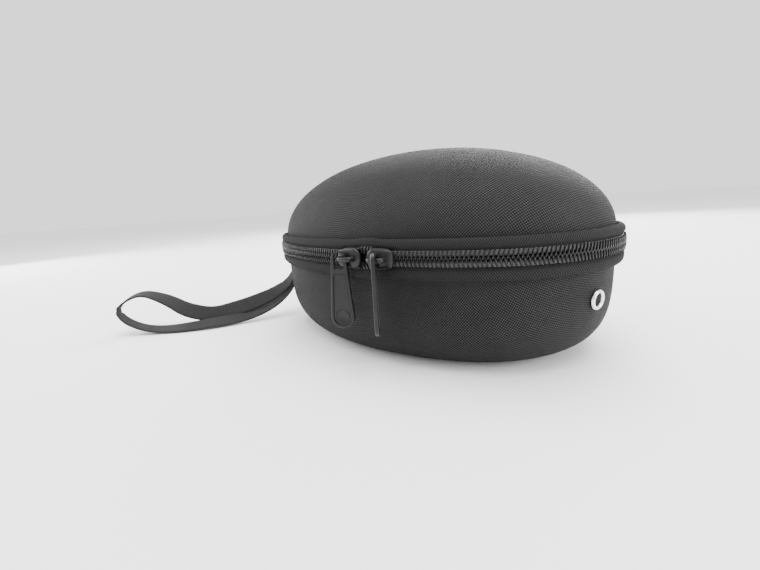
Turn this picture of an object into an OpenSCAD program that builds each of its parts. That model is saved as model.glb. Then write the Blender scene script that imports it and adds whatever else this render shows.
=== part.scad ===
// Hard-shell carrying case for headphones: a bowl base and a domed lid of moulded foam
// between a woven cover and a lining, joined by a two-slider coil zip and a fabric hinge.
// Millimetres. +X is the eyelet end, -Y the front, +Z up. The origin is the middle of
// the flat underside.

/* [Case] */
// Length of the case over the zip, end to end
case_l = 188; // [184:1:194]
// Width of the case over the zip, front to back
case_w = 130; // [126:1:134]
// Height of the zip line above the table
seam_h = 46.5; // [45:0.5:50]
// Height of the lid above the zip line
lid_h = 45.5; // [42:0.5:46]
// Plan radius of the two ends of the case
end_r = 56; // [54:0.5:58]

/* [Shell layers] */
// Thickness of the woven outer cover
cover_t = 1; // [0.8:0.1:1.2]
// Thickness of the moulded foam
core_t = 3.5; // [3:0.1:4]
// Thickness of the lining
lining_t = 1; // [0.6:0.1:1.2]
// Distance of the shell's rim behind the face of the zip
rim_inset = 3.8; // [3.8:0.1:4.2]

/* [Zip] */
// Height of the closed zip chain
chain_h = 6.1; // [6:0.1:6.4]
// Reach of the rolled upper tape above the zip line
upper_tape_h = 7.2; // [6.8:0.1:7.6]
// Reach of the rolled lower tape below the zip line
lower_tape_h = 8.2; // [7.4:0.1:8.6]
// Half the width of the fabric hinge at the back
hinge_half_w = 38; // [34:1:42]
// Distance of the sliders' meeting point to the right of the middle
meet_x = 22; // [12:1:22]
// Length of each slider
slider_l = 12; // [11:0.5:12.5]
// Gap between the mouths of the two sliders
slider_gap = 3; // [2:0.5:4]
// Length of a pull tab below its pivot
tab_l = 29; // [26:0.5:30]
// Width of a pull tab near its end
tab_w = 10; // [9.2:0.2:10.4]

/* [Eyelet] */
// Radius of the hole through the eyelet
eyelet_hole_r = 2.5; // [2.3:0.1:2.7]
// Radius of the eyelet's rolled face
eyelet_face_r = 4; // [3.8:0.1:4.4]
// Height of the eyelet above the table
eyelet_h = 27; // [25:0.5:28]

/* [Wrist strap] */
// Width of the webbing
strap_w = 10; // [9:0.5:11]
// Thickness of the webbing
strap_t = 1.2; // [1:0.1:1.4]

/* [Mesh pocket] */
// Height of the pocket's net above the zip line
pocket_h = 14; // [12:0.5:16]
// Thickness of the net
net_t = 1; // [0.8:0.1:1.2]

/* [Hidden] */

arc_fn = 180;
small_fn = 48;

// The plan is an oval of four arcs: two ends of radius end_r and two flatter sides.
end_x = case_l / 2 - end_r;
side_r = (pow(case_w / 2, 2) + pow(end_x, 2) - pow(end_r, 2)) / (case_w - 2 * end_r);
side_y = side_r - case_w / 2;
join_a = atan2(side_y, end_x);
hinge_a = asin(hinge_half_w / side_r);
end_steps = 18;
side_steps = 12;

// Levels of each shell's wall between its rim and its crown or floor.
lid_steps = 11;
base_steps = 10;
crown_a = 87;
dome_p = 2.07;
wall_p = 3.9;
corner_q = 2.7;
floor_k = 0.62;
rim_gap = 4.4;

inset_core = rim_inset + cover_t;
inset_lining = inset_core + core_t;
inset_inside = inset_lining + lining_t;
depth_core = cover_t;
depth_lining = cover_t + core_t;
depth_inside = cover_t + core_t + lining_t;

// Zip section, as distances behind the chain's face and away from the zip line.
coil_gap = 0.6;
coil_d = 1.7;
coil_edge = 0.5;
tape_t = 0.5;
tape_front = 0.75;
tape_back = coil_d + tape_t;
binding_t = 0.6;
binding_reach = 3;
binding_front = 3.9;

// Sliders, as distances from the chain's face, outward negative.
plate_face = -1.6;
plate_inner = -0.35;
back_inner = tape_back + 0.4;
back_outer = binding_front - 0.35;
plate_h = 8;
mouth_round = 3.6;
tail_in = 1.2;
web_t = 0.8;
crown_y = -5.4;
beam_r = 0.8;
leg_r = 0.75;
leg_x = 3.2;
slider_a = asin((slider_l + slider_gap) / 2 / side_r);
meet_a = asin(meet_x / side_r);
left_a = meet_a - slider_a;
right_a = meet_a + slider_a;

// Pull tabs.
tab_t = 1.3;
tab_top_r = 3.2;
window_w = 3.8;
window_top = 1;
window_drop = 4.6;
left_tab_y = -4.1;
left_tab_turn = 28;
right_tab_turn = 123;

// Eyelet.
eyelet_a = -10;
eyelet_tilt = 3.4;
eyelet_wall = 0.35;
eyelet_seat = 0.25;
eyelet_washer_r = 4.6;
eyelet_washer_t = 0.5;
// Stand-off of the washer from the lining at the middle of the curved wall.
washer_seat = 0.95;
barrel_roll = 0.3;
eyelet_fit = 0.1;

// Route of the strap's middle line: out from its root, along the table to the end of the
// loop, and back above itself. The last number of each row is the tilt of the webbing.
strap_heading = [-0.9, 0.43, 0];
strap_out = [
    [-87.2, -17.9, 35.4, 0], [-88.9, -18.5, 35.2, 4], [-90.3, -19.7, 33.9, 8], [-91, -21.6, 31.4, 10]];
strap_lower = [
    [-90.7, -21.6, 29.9, 10], [-90.4, -26.9, 22.9, 14], [-89.2, -35.2, 14.6, 14], [-90.7, -44.9, 8.3, 13],
    [-94.1, -55.9, 4.6, 17], [-98.1, -68.8, 3, 21], [-103, -82.1, 2.8, 20], [-110.5, -93.7, 2.1, 15],
    [-119.2, -103.3, 1.9, 9], [-127.9, -111.7, 3.8, 5]];
strap_tip = [
    [-134.7, -118.3, 8.6, 5], [-137.9, -120.6, 14.9, 3]];
strap_upper = [
    [-138.5, -115, 20, 2], [-134.9, -106.4, 22.2, 10], [-128, -96.6, 17.4, 30], [-119.7, -87.6, 10.1, 48],
    [-111.8, -76.3, 6.2, 52], [-104.5, -64.6, 7.9, 52], [-97.5, -53.1, 11.1, 50], [-93.4, -42.2, 15, 36],
    [-91.1, -32.3, 20.8, 21], [-91.8, -24.9, 28.4, 12], [-91.3, -23, 30.9, 10]];
strap_pieces = 3;

// Points of the oval, set in by a distance all round, counter-clockwise from the front
// right join.
function arc_points(centre, r, from, to, steps) =
    [for (i = [0 : steps - 1])
        let (a = from + (to - from) * i / steps)
        centre + r * [cos(a), sin(a)]];

function oval(inset) = concat(
    arc_points([end_x, 0], end_r - inset, -join_a, join_a, end_steps),
    arc_points([0, -side_y], side_r - inset, join_a, 180 - join_a, side_steps),
    arc_points([-end_x, 0], end_r - inset, 180 - join_a, 180 + join_a, end_steps),
    arc_points([0, side_y], side_r - inset, 180 + join_a, 360 - join_a, side_steps));

function level(inset, k, z) = [for (p = oval(inset)) [p.x * k, p.y * k, z]];

// One level of the lid at a given angle up its dome, and one of the base down its wall.
function lid_level(inset, depth, a) =
    level(inset, pow(cos(a), 2 / dome_p),
        seam_h + rim_gap + (lid_h - rim_gap - depth) * pow(sin(a), 2 / dome_p));

function base_level(inset, depth, a) =
    level(inset, floor_k + (1 - floor_k) * pow(cos(a), 2 / corner_q),
        seam_h - rim_gap - (seam_h - rim_gap - depth) * pow(sin(a), 2 / wall_p));

function climb(steps, last) = [for (i = [0 : steps]) last * i / steps];
function fall(steps, last) = [for (i = [steps : -1 : 0]) last * i / steps];

// A closed solid through a list of rings that all have the same number of points.
module loft(rings) {
    n = len(rings[0]);
    last = len(rings) - 1;
    lower_half = [for (i = [0 : last - 1], j = [0 : n - 1])
        [i * n + j, (i + 1) * n + j, (i + 1) * n + (j + 1) % n]];
    upper_half = [for (i = [0 : last - 1], j = [0 : n - 1])
        [i * n + j, (i + 1) * n + (j + 1) % n, i * n + (j + 1) % n]];
    start_cap = [for (j = [0 : n - 1]) j];
    end_cap = [for (j = [n - 1 : -1 : 0]) last * n + j];
    polyhedron([for (ring = rings, p = ring) p],
        concat(lower_half, upper_half, [start_cap, end_cap]), convexity = 6);
}

// A layer of the lid or the base, between an outer and an inner surface.
module lid_layer(inset_out, depth_out, inset_in, depth_in)
    loft(concat(
        [for (a = fall(lid_steps, crown_a)) lid_level(inset_in, depth_in, a)],
        [for (a = climb(lid_steps, crown_a)) lid_level(inset_out, depth_out, a)]));

module base_layer(inset_out, depth_out, inset_in, depth_in)
    difference() {
        loft(concat(
            [for (a = fall(base_steps, 90)) base_level(inset_out, depth_out, a)],
            [for (a = climb(base_steps, 90)) base_level(inset_in, depth_in, a)]));
        at_eyelet()
            translate([0, 0, -15])
                cylinder(r = eyelet_hole_r + eyelet_wall + eyelet_fit, h = 25, $fn = small_fn);
    }

// A profile carried along one arc of the plan, and along the whole zip.
module arc_run(profile, centre, r, from, to)
    translate([centre.x, centre.y, seam_h])
        rotate([0, 0, from])
            rotate_extrude(angle = to - from, $fn = arc_fn)
                polygon([for (p = profile) [r - p.x, p.y]]);

module end_and_front_run(profile) {
    arc_run(profile, [end_x, 0], end_r, -join_a, join_a);
    arc_run(profile, [-end_x, 0], end_r, 180 - join_a, 180 + join_a);
    arc_run(profile, [0, side_y], side_r, 180 + join_a, 360 - join_a);
}

module zip_run(profile) {
    end_and_front_run(profile);
    arc_run(profile, [0, -side_y], side_r, join_a, 90 - hinge_a);
    arc_run(profile, [0, -side_y], side_r, 90 + hinge_a, 180 - join_a);
}

// The same stretch as one faceted solid, on the shells' own oval.
function arc_stations(centre, r, from, to, steps) =
    [for (i = [0 : steps - 1]) [centre, r, from + (to - from) * i / steps]];

stub_steps = 3;
zip_stations = concat(
    arc_stations([0, -side_y], side_r, 90 + hinge_a, 180 - join_a, stub_steps),
    arc_stations([-end_x, 0], end_r, 180 - join_a, 180 + join_a, end_steps),
    arc_stations([0, side_y], side_r, 180 + join_a, 360 - join_a, side_steps),
    arc_stations([end_x, 0], end_r, 360 - join_a, 360 + join_a, end_steps),
    arc_stations([0, -side_y], side_r, 360 + join_a, 450 - hinge_a, stub_steps),
    [[[0, -side_y], side_r, 450 - hinge_a]]);

function station_ring(profile, s) = [for (p = profile)
    let (spot = s[0] + (s[1] - p.x) * [cos(s[2]), sin(s[2])])
    [spot.x, spot.y, seam_h + p.y]];

module zip_loft(profile) loft([for (s = zip_stations) station_ring(profile, s)]);

module rim_run(profile) {
    end_and_front_run(profile);
    arc_run(profile, [0, -side_y], side_r, join_a, 180 - join_a);
}

module hinge_run(profile)
    arc_run(profile, [0, -side_y], side_r, 90 - hinge_a, 90 + hinge_a);

module mirror_z() translate([0, 0, 2 * seam_h]) mirror([0, 0, 1]) children();

function flipped(profile) = [for (p = profile) [p.x, -p.y]];

// Coil row, rolled tape and rim binding of the lid's half, with the zip line at zero.
coil_profile = [
    [coil_edge, coil_gap], [coil_d, coil_gap], [coil_d, chain_h / 2],
    [coil_edge, chain_h / 2], [0, chain_h / 2 - coil_edge], [0, coil_gap + coil_edge]];

function tape_profile(reach) = [
    [coil_d, 0.7], [tape_back, 0.7], [tape_back, rim_gap - 0.2], [rim_inset - 0.05, rim_gap],
    [rim_inset - 0.05, reach - 0.2], [3, reach], [1.9, reach - 0.3], [1.1, reach - 0.9],
    [tape_front, reach - 1.7], [tape_front, 4.6], [1.15, 3.9], [coil_d, 3.4]];

binding_profile = [
    [binding_front, rim_gap - binding_t], [inset_inside + 1, rim_gap - binding_t],
    [inset_inside + 1.4, rim_gap + binding_reach], [inset_inside + 0.8, rim_gap + binding_reach],
    [inset_inside + 0.2, rim_gap], [binding_front, rim_gap]];

// Hinge fabric outside and inside, fixed to the base and short of the lid's rim.
hinge_profile = [
    [2.6, -lower_tape_h + 1], [rim_inset - 0.1, -lower_tape_h + 1], [rim_inset - 0.1, 3.4],
    [2.6, 3.4]];

hinge_lining_profile = [
    [inset_inside - 0.7, -rim_gap + binding_t + 0.1], [inset_inside, -rim_gap + binding_t + 0.1],
    [inset_inside, 3.2], [inset_inside - 0.7, 3.2]];

module base_cover() color([0.17, 0.17, 0.175]) base_layer(rim_inset, 0, inset_core, depth_core);
module base_core() color([0.1, 0.1, 0.1])
    base_layer(inset_core, depth_core, inset_lining, depth_lining);
module base_lining() color([0.13, 0.13, 0.14])
    base_layer(inset_lining, depth_lining, inset_inside, depth_inside);
module base_binding() color([0.12, 0.12, 0.12]) rim_run(flipped(binding_profile));
module lower_zip_tape() color([0.19, 0.19, 0.2]) mirror_z() zip_loft(tape_profile(lower_tape_h));
module lower_zip_coil() color([0.07, 0.07, 0.075]) zip_run(flipped(coil_profile));

module lid_cover() color([0.19, 0.19, 0.195]) lid_layer(rim_inset, 0, inset_core, depth_core);
module lid_core() color([0.1, 0.1, 0.1])
    lid_layer(inset_core, depth_core, inset_lining, depth_lining);
module lid_lining() color([0.13, 0.13, 0.14])
    lid_layer(inset_lining, depth_lining, inset_inside, depth_inside);
module lid_binding() color([0.12, 0.12, 0.12]) rim_run(binding_profile);
module upper_zip_tape() color([0.2, 0.2, 0.21]) zip_loft(tape_profile(upper_tape_h));
module upper_zip_coil() color([0.07, 0.07, 0.075]) zip_run(coil_profile);

module hinge_strip() color([0.16, 0.16, 0.165]) hinge_run(hinge_profile);
module hinge_lining() color([0.13, 0.13, 0.14]) hinge_run(hinge_lining_profile);

// Places a child at the eyelet, with +Z along the hole's axis out of the wall.
eyelet_t = pow((seam_h - rim_gap - eyelet_h) / (seam_h - rim_gap), wall_p);
eyelet_k = floor_k + (1 - floor_k) * pow(1 - eyelet_t, 1 / corner_q);
eyelet_pos = eyelet_k * ([end_x, 0] + (end_r - rim_inset) * [cos(eyelet_a), sin(eyelet_a)]);

module at_eyelet()
    translate([eyelet_pos.x, eyelet_pos.y, eyelet_h])
        rotate([0, 90 + eyelet_tilt, eyelet_a])
            children();

// Barrel with a rolled face, turned from one section about the hole's axis.
module eyelet_barrel() color([0.86, 0.86, 0.87])
    at_eyelet()
        rotate_extrude($fn = small_fn) {
            hole = eyelet_hole_r;
            wall = hole + eyelet_wall;
            face = eyelet_face_r;
            depth = depth_inside + washer_seat + eyelet_washer_t + barrel_roll;
            polygon([[hole, -depth], [wall, -depth], [wall, eyelet_seat], [face, eyelet_seat],
                [face, eyelet_seat + 0.4], [face - 0.3, eyelet_seat + 0.8], [face - 0.75, eyelet_seat + 1],
                [hole + 0.5, eyelet_seat + 0.85], [hole + 0.1, eyelet_seat + 0.45], [hole, eyelet_seat]]);
        }

module eyelet_washer() color([0.8, 0.8, 0.81])
    at_eyelet()
        translate([0, 0, -depth_inside - washer_seat - eyelet_washer_t])
            difference() {
                cylinder(r = eyelet_washer_r, h = eyelet_washer_t, $fn = small_fn);
                translate([0, 0, -1])
                    cylinder(r = eyelet_hole_r + eyelet_wall + 0.05, h = 3, $fn = small_fn);
            }

// Net across the back half of the lid, with an elastic band along its free edge.
pocket_edge_y = 2;
elastic_w = 4;
elastic_t = 1.8;
pocket_k = pow(1 - pow((pocket_h + 2 - rim_gap) / (lid_h - rim_gap - depth_inside), dome_p), 1 / dome_p);

module pocket_slice(from_y, depth_y, t)
    intersection() {
        translate([0, 0, seam_h + pocket_h])
            linear_extrude(t)
                polygon([for (p = oval(inset_inside + 0.3)) p * pocket_k]);
        translate([-case_l / 2, from_y, seam_h])
            cube([case_l, depth_y, lid_h]);
    }

module mesh_pocket() color([0.09, 0.09, 0.09]) pocket_slice(pocket_edge_y, case_w, net_t);
module pocket_elastic() color([0.08, 0.08, 0.08])
    translate([0, 0, (net_t - elastic_t) / 2])
        pocket_slice(pocket_edge_y - elastic_w, elastic_w, elastic_t);

// Webbing through rows of position and tilt, smoothed between them.
function smooth(p, i, t) =
    let (a = p[max(i - 1, 0)], b = p[i], c = p[i + 1], d = p[min(i + 2, len(p) - 1)])
    (2 * b + (c - a) * t + (2 * a - 5 * b + 4 * c - d) * t * t + (3 * b - a - 3 * c + d) * t * t * t) / 2;

function route(p, n) = concat(
    [for (i = [0 : len(p) - 2], j = [0 : n - 1]) smooth(p, i, j / n)],
    [p[len(p) - 1]]);

function unit(v) = v / norm(v);
function xyz(row) = [row[0], row[1], row[2]];

function web_ring(rows, i, thick) =
    let (
        along = unit(xyz(rows[min(i + 1, len(rows) - 1)]) - xyz(rows[max(i - 1, 0)])),
        tilt = rows[i][3],
        lie = unit(strap_heading) * cos(tilt) + [0, 0, sin(tilt)],
        across = unit(lie - along * (lie * along)) * strap_w / 2,
        out = unit(cross(along, across)) * thick / 2,
        mid = xyz(rows[i]))
    [mid - across - out, mid - across + out, mid + across + out, mid + across - out];

module webbing(p, thick) {
    rows = route(p, strap_pieces);
    loft([for (i = [0 : len(rows) - 1]) web_ring(rows, i, thick)]);
}

// The two ends of the webbing are sewn together where they enter the seam.
module strap_root() color([0.22, 0.22, 0.23]) webbing(strap_out, 2.2 * strap_t);
module wrist_strap() color([0.24, 0.24, 0.25])
    webbing(concat(strap_lower, strap_tip, strap_upper), strap_t);

// Places a child on the front of the zip at an angle to the right of the middle, with
// X along the chain, Y into the case from the chain's face and Z up from the zip line.
module on_chain(a)
    translate([0, side_y, seam_h])
        rotate([0, 0, a])
            translate([0, -side_r, 0])
                children();

module upright_plate(from_y, to_y, points)
    translate([0, to_y, 0])
        rotate([90, 0, 0])
            linear_extrude(to_y - from_y)
                polygon(points);

// Outline of a slider's plates: rounded at its mouth, at +X, and cut square at its tail.
function plate_points(l, h) = concat(
    [for (a = [-90 : 15 : 90]) [l / 2 - mouth_round * (1 - cos(a)), h / 2 * sin(a)]],
    [[-l / 2 + 1.4, h / 2 - 0.5], [-l / 2, h / 2 - tail_in], [-l / 2, tail_in - h / 2],
        [-l / 2 + 1.4, 0.5 - h / 2]]);

module slider() {
    upright_plate(plate_face, plate_inner, plate_points(slider_l, plate_h));
    upright_plate(back_inner, back_outer, plate_points(slider_l - 1, plate_h - 0.6));
    translate([slider_l / 2 - 4.5, plate_inner - 0.3, -web_t / 2])
        cube([4, back_inner - plate_inner + 0.6, web_t]);
    for (side = [-1, 1])
        translate([side * leg_x, plate_face + 0.3, 0])
            rotate([90, 0, 0])
                cylinder(r = leg_r, h = plate_face + 0.3 - crown_y, $fn = small_fn);
    translate([-leg_x - leg_r, crown_y, 0])
        rotate([0, 90, 0])
            cylinder(r = beam_r, h = 2 * (leg_x + leg_r), $fn = small_fn);
}

module slider_left() color([0.16, 0.16, 0.165]) on_chain(left_a) slider();
module slider_right() color([0.16, 0.16, 0.165]) on_chain(right_a) mirror([1, 0, 0]) slider();

// A pull tab that hangs from its pivot at the origin, with its faces along Y.
module pull_tab()
    rotate([90, 0, 0])
        translate([0, 0, -tab_t / 2])
            linear_extrude(tab_t)
                difference() {
                    union() {
                        circle(r = tab_top_r, $fn = small_fn);
                        translate([0, tab_w / 2 - tab_l])
                            circle(r = tab_w / 2, $fn = small_fn);
                        polygon([[tab_top_r, 0], [-tab_top_r, 0], [-tab_w / 2, tab_w / 2 - tab_l],
                            [tab_w / 2, tab_w / 2 - tab_l]]);
                    }
                    translate([-window_w / 2, window_top - window_drop - 0.4])
                        square([window_w, window_drop]);
                    translate([0, window_top - 0.4])
                        intersection() {
                            circle(r = window_w / 2, $fn = small_fn);
                            translate([-window_w / 2, -window_w / 2])
                                square([window_w, window_w / 2 + 0.4]);
                        }
                }

// The left tab hangs face out from one leg of its crown, the right one edge out from the
// crown's beam.
module pull_tab_left() color([0.2, 0.2, 0.205])
    on_chain(left_a) translate([-leg_x, left_tab_y, 0]) rotate([0, 0, left_tab_turn]) pull_tab();
module pull_tab_right() color([0.2, 0.2, 0.205])
    on_chain(right_a) translate([0, crown_y, 0]) rotate([0, 0, right_tab_turn]) pull_tab();

base_cover();
base_core();
base_lining();
base_binding();
lower_zip_tape();
lower_zip_coil();
eyelet_barrel();
eyelet_washer();
strap_root();
wrist_strap();
hinge_strip();
hinge_lining();
lid_cover();
lid_core();
lid_lining();
lid_binding();
upper_zip_tape();
upper_zip_coil();
mesh_pocket();
pocket_elastic();
slider_left();
slider_right();
pull_tab_left();
pull_tab_right();
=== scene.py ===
import math
import bpy
import bmesh
from mathutils import Vector, Matrix
from mathutils.geometry import tessellate_polygon
from mathutils.noise import noise


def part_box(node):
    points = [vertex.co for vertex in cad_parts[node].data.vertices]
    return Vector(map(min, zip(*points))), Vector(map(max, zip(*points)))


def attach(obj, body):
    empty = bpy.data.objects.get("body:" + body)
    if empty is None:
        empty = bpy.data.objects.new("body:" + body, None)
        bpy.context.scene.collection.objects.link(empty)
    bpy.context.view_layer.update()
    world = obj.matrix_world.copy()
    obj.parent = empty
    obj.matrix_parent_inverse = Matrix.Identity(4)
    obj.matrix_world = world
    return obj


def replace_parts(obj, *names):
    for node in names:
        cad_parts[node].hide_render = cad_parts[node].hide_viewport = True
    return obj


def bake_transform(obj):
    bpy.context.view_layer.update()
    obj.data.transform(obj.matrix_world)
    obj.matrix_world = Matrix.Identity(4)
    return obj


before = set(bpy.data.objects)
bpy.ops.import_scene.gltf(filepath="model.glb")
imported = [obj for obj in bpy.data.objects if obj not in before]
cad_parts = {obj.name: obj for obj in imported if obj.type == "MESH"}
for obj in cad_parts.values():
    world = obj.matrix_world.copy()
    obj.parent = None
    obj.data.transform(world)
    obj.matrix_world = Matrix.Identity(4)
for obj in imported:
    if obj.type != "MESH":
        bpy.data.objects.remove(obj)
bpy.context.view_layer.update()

# Sizes are in millimetres and turned into metres when a mesh is made.
MM = 0.001

# ---------------------------------------------------------------- sizes
# The case's length, depth, heights and parting line are read from the frame.
RIM_INSET = 3.8
COVER_T = 1.0
LINING_T = 1.0
INSET_INSIDE = 9.3
DEPTH_LINING = 4.5
RIM_GAP = 4.4
LID_LO, LID_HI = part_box("lid_cover")
_, BASE_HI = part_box("base_cover")
SEAM_H = (LID_LO.z + BASE_HI.z) / 2 / MM
LID_H = LID_HI.z / MM - SEAM_H
HALF_L = LID_HI.x / MM + RIM_INSET
HALF_W = LID_HI.y / MM + RIM_INSET
END_R = 56.0
END_X = HALF_L - END_R
SIDE_R = (HALF_W ** 2 + END_X ** 2 - END_R ** 2) / (2 * (HALF_W - END_R))
SIDE_Y = SIDE_R - HALF_W
JOIN = math.atan2(SIDE_Y, END_X)
HINGE_HALF_W = 38.0
HINGE = math.asin(HINGE_HALF_W / SIDE_R)
DOME_P = 2.07
WALL_P = 3.9
CORNER_Q = 2.7
FLOOR_K = 0.62
EYELET_A = math.radians(-10)
EYELET_TILT = math.radians(3.4)
EYELET_H = 27.0
HOLE_R = 2.5
TOOTH_PITCH = 1.62
MEET_X = 22.0
SLIDER_L = 12.0
SLIDER_GAP = 3.0
MEET_A = math.asin(MEET_X / SIDE_R)
SLIDER_A = math.asin((SLIDER_L + SLIDER_GAP) / 2 / SIDE_R)
LEFT_A = MEET_A - SLIDER_A
RIGHT_A = MEET_A + SLIDER_A
TAPE_FOLD = 3.4
MOUTH_ROUND = 3.6
TAIL_IN = 1.2
PLATE_H = 8.0
CROWN_Y = -5.4
LEG_X = 3.2
LEFT_TAB_Y = -4.1
LEFT_TAB_TURN = math.radians(28)
RIGHT_TAB_TURN = math.radians(123)
TAB_L = 29.0
TAB_W = 10.0
TAB_T = 1.3
TAB_TOP_R = 3.2
WINDOW_W = 3.8
WINDOW_TOP = 1.0
WINDOW_DROP = 4.6
STRAP_W = 10.0
STRAP_RIB = 1.0
POCKET_H = 14.0


# ---------------------------------------------------------------- mesh helpers
class Build:
    """Collects points in millimetres, faces and a map of the cloth's own directions."""

    def __init__(self):
        self.points = []
        self.faces = []
        self.uvs = []

    def add(self, p, uv=(0.0, 0.0)):
        self.points.append((p[0], p[1], p[2]))
        self.uvs.append(uv)
        return len(self.points) - 1

    def ring(self, pts):
        return [self.add(p) for p in pts]

    def skin(self, a, b, closed=True):
        n = len(a)
        last = n if closed else n - 1
        for j in range(last):
            k = (j + 1) % n
            self.faces.append((a[j], a[k], b[k], b[j]))

    def cap(self, ids):
        self.faces.append(tuple(ids))

    def loft(self, rings):
        """A solid from the first ring to the last."""
        for a, b in zip(rings, rings[1:]):
            self.skin(a, b)
        self.cap(rings[0])
        self.cap(rings[-1][::-1])

    def wrap(self, rings):
        """Skins from each ring to the next and from the last to the first."""
        for i, row in enumerate(rings):
            self.skin(row, rings[(i + 1) % len(rings)])

    def tube(self, path, radius, sides=6, flat=1.0):
        """A closed round thread along a path of points, flat times as wide one way."""
        rings = []
        n = len(path)
        for i, p in enumerate(path):
            ahead = Vector(path[min(i + 1, n - 1)]) - Vector(path[max(i - 1, 0)])
            ahead.normalize()
            side = ahead.cross(Vector((0, 0, 1)))
            if side.length < 1e-3:
                side = ahead.cross(Vector((0, 1, 0)))
            side.normalize()
            lift = side.cross(ahead)
            r = radius(i / (n - 1)) if callable(radius) else radius
            ring = []
            for s in range(sides):
                t = 2 * math.pi * s / sides
                q = Vector(p) + side * (r * math.cos(t)) + lift * (r * flat * math.sin(t))
                ring.append(self.add(q, (i * 0.5, s)))
            rings.append(ring)
        for a, b in zip(rings, rings[1:]):
            self.skin(a, b)
        self.cap(rings[0][::-1])
        self.cap(rings[-1])

    def make(self, name, material, smooth=True, matrix=None):
        mesh = bpy.data.meshes.new(name)
        pts = [Vector(p) for p in self.points]
        if matrix is not None:
            pts = [matrix @ p for p in pts]
        mesh.from_pydata([p * MM for p in pts], [], self.faces)
        layer = mesh.uv_layers.new(name="cloth")
        flat_uv = []
        for loop in mesh.loops:
            flat_uv.extend(self.uvs[loop.vertex_index])
        layer.data.foreach_set("uv", flat_uv)
        tidy = bmesh.new()
        tidy.from_mesh(mesh)
        bmesh.ops.recalc_face_normals(tidy, faces=tidy.faces)
        tidy.to_mesh(mesh)
        tidy.free()
        mesh.polygons.foreach_set("use_smooth", [smooth] * len(mesh.polygons))
        mesh.materials.append(material)
        obj = bpy.data.objects.new(name, mesh)
        bpy.context.scene.collection.objects.link(obj)
        return obj


def soften(obj, angle=35):
    """Sharp edges stay crisp under smooth shading."""
    obj.data.set_sharp_from_angle(angle=math.radians(angle))
    return obj


# ---------------------------------------------------------------- the case's oval
ARCS = (
    ((END_X, 0.0), END_R, -JOIN, JOIN),
    ((0.0, -SIDE_Y), SIDE_R, JOIN, math.pi - JOIN),
    ((-END_X, 0.0), END_R, math.pi - JOIN, math.pi + JOIN),
    ((0.0, SIDE_Y), SIDE_R, math.pi + JOIN, 2 * math.pi - JOIN),
)


def station(arc, a, inset):
    (cx, cy), r, _, _ = arc
    return (cx + (r - inset) * math.cos(a), cy + (r - inset) * math.sin(a))


def oval(inset, step):
    """Points round the oval, one about every step millimetres, with the way out of each."""
    out = []
    for arc in ARCS:
        count = max(4, int(arc[1] * (arc[3] - arc[2]) / step))
        for i in range(count):
            a = arc[2] + (arc[3] - arc[2]) * i / count
            x, y = station(arc, a, inset)
            out.append((x, y, math.cos(a), math.sin(a)))
    return out


# The zip runs from one side of the hinge round the front to the other.
ZIP_LEGS = (
    (ARCS[1], math.pi / 2 + HINGE, math.pi - JOIN),
    (ARCS[2], math.pi - JOIN, math.pi + JOIN),
    (ARCS[3], math.pi + JOIN, 2 * math.pi - JOIN),
    (ARCS[0], -JOIN, JOIN),
    (ARCS[1], JOIN, math.pi / 2 - HINGE),
)


def zip_path(step):
    """Stations along the zip, about one every step: arc, angle and distance run."""
    out = []
    run = 0.0
    for arc, a0, a1 in ZIP_LEGS:
        length = arc[1] * (a1 - a0)
        count = max(2, round(length / step))
        for i in range(count):
            out.append((arc, a0 + (a1 - a0) * i / count, run + length * i / count))
        run += length
    out.append((ZIP_LEGS[-1][0], ZIP_LEGS[-1][2], run))
    return out


def along_zip(distance):
    """Arc and angle at a distance along the zip."""
    for arc, a0, a1 in ZIP_LEGS:
        length = arc[1] * (a1 - a0)
        if distance <= length:
            return arc, a0 + distance / arc[1]
        distance -= length
    return ZIP_LEGS[-1][0], ZIP_LEGS[-1][2]


ZIP_LENGTH = zip_path(5.0)[-1][2]
LEG_BACK = SIDE_R * (math.pi / 2 - JOIN - HINGE)
LEG_END = END_R * 2 * JOIN
MEET_RUN = LEG_BACK + LEG_END + SIDE_R * (math.pi / 2 - JOIN + MEET_A)


def parting(run):
    """How far each row stands off the parting line between the sliders."""
    widest = 1.9
    reach = 5.2
    d = (run - MEET_RUN) / reach
    return widest * math.exp(-d ** 4)


def ripple(p, size, seed=0.0):
    """Smooth noise about size millimetres wide."""
    return noise(Vector((p[0] / size + seed, p[1] / size - seed, p[2] / size + 2 * seed)))


# ---------------------------------------------------------------- materials
# Speckles per metre of the yarns' fibres.
FIBRE = 2400.0
FIBRE_FINE = 2600.0


def new_material(name, color, rough, sheen=0.0, metal=0.0, spec=0.5):
    mat = bpy.data.materials.new(name)
    mat.use_nodes = True
    shader = mat.node_tree.nodes["Principled BSDF"]
    shader.inputs["Base Color"].default_value = (*color, 1)
    shader.inputs["Roughness"].default_value = rough
    shader.inputs["Metallic"].default_value = metal
    shader.inputs["Specular IOR Level"].default_value = spec
    shader.inputs["Sheen Weight"].default_value = sheen
    shader.inputs["Sheen Roughness"].default_value = 0.45
    return mat, mat.node_tree, shader


def maths(tree, op, a, b=None, clamp=False):
    node = tree.nodes.new("ShaderNodeMath")
    node.operation = op
    node.use_clamp = clamp
    for i, value in enumerate((a, b)):
        if value is None:
            continue
        if isinstance(value, (int, float)):
            node.inputs[i].default_value = value
        else:
            tree.links.new(value, node.inputs[i])
    return node.outputs[0]


def add(tree, a, b):
    return maths(tree, "ADD", a, b)


def times(tree, a, b):
    return maths(tree, "MULTIPLY", a, b)


def split_uv(tree):
    uv = tree.nodes.new("ShaderNodeUVMap")
    uv.uv_map = "cloth"
    split = tree.nodes.new("ShaderNodeSeparateXYZ")
    tree.links.new(uv.outputs[0], split.inputs[0])
    return split.outputs[0], split.outputs[1]


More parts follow.
